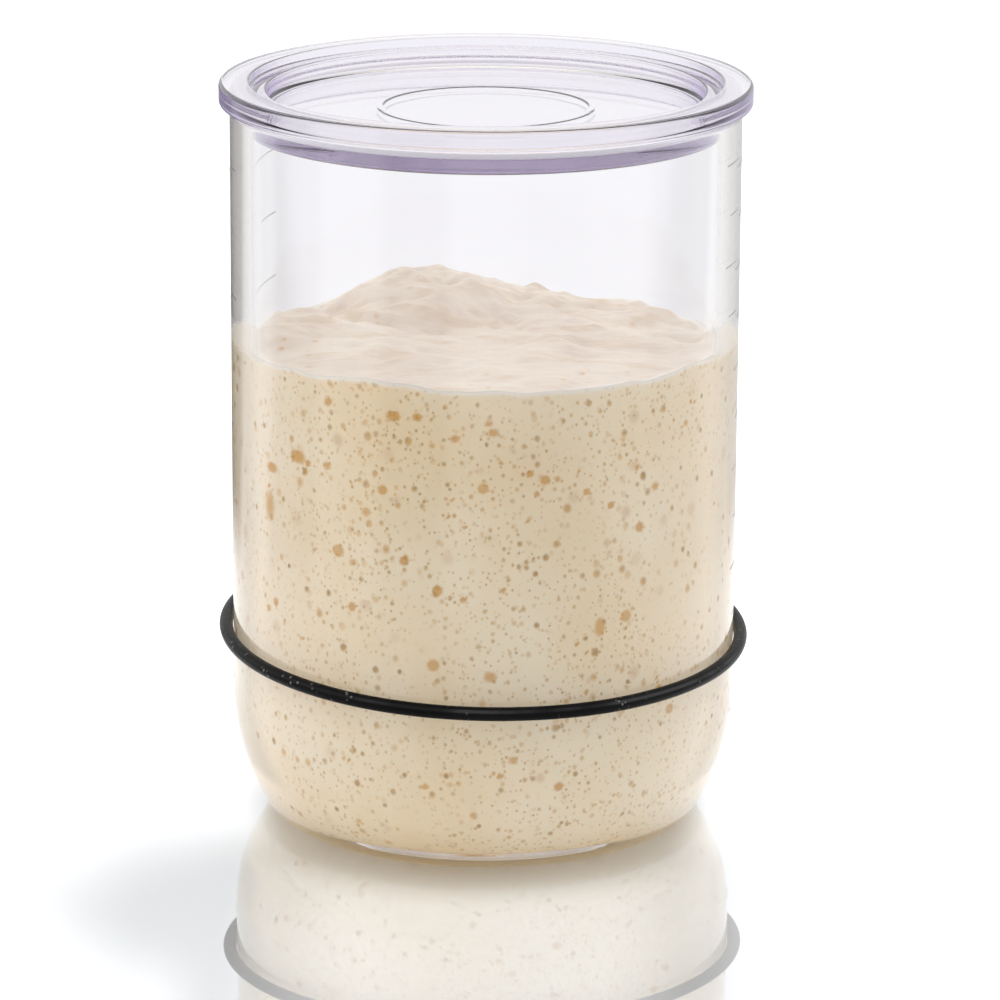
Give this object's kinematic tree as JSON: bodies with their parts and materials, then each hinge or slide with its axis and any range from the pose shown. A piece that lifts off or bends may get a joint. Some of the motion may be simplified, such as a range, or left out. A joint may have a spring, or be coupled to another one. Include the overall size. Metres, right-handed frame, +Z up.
{
  "type": "sourdough starter jar",
  "caption": "Wide-mouth glass jar with a clear drop-in lid, a rubber band that marks the level, and the bubbly starter inside.",
  "frame": {"origin": "middle of the jar's foot, on the surface that it stands on", "axes": "+Z up along the jar's axis, -Y towards the front that the picture shows, +X to the right of that front"},
  "size_m": [0.1018, 0.1018, 0.1422],
  "materials": {
    "jar_glass": "clear, polished",
    "lid_plastic": "clear with a faint violet tint, polished",
    "band_rubber": "black, satin, faintly speckled",
    "starter": "moist, cream, full of bubbles"
  },
  "bodies": {
    "root": {"glass_jar": "jar_glass", "sourdough_starter": "starter"},
    "lid": {"lid": "lid_plastic"},
    "band": {"level_band": "band_rubber"}
  },
  "joints": [
    {"name": "lid_lift", "type": "slide", "parent": "root", "child": "lid", "axis": [0, 0, 1], "range_m": [0, 0.06]},
    {"name": "band_slide", "type": "slide", "parent": "root", "child": "band", "axis": [0, 0, 1], "range_m": [-0.006, 0.097]}
  ]
}
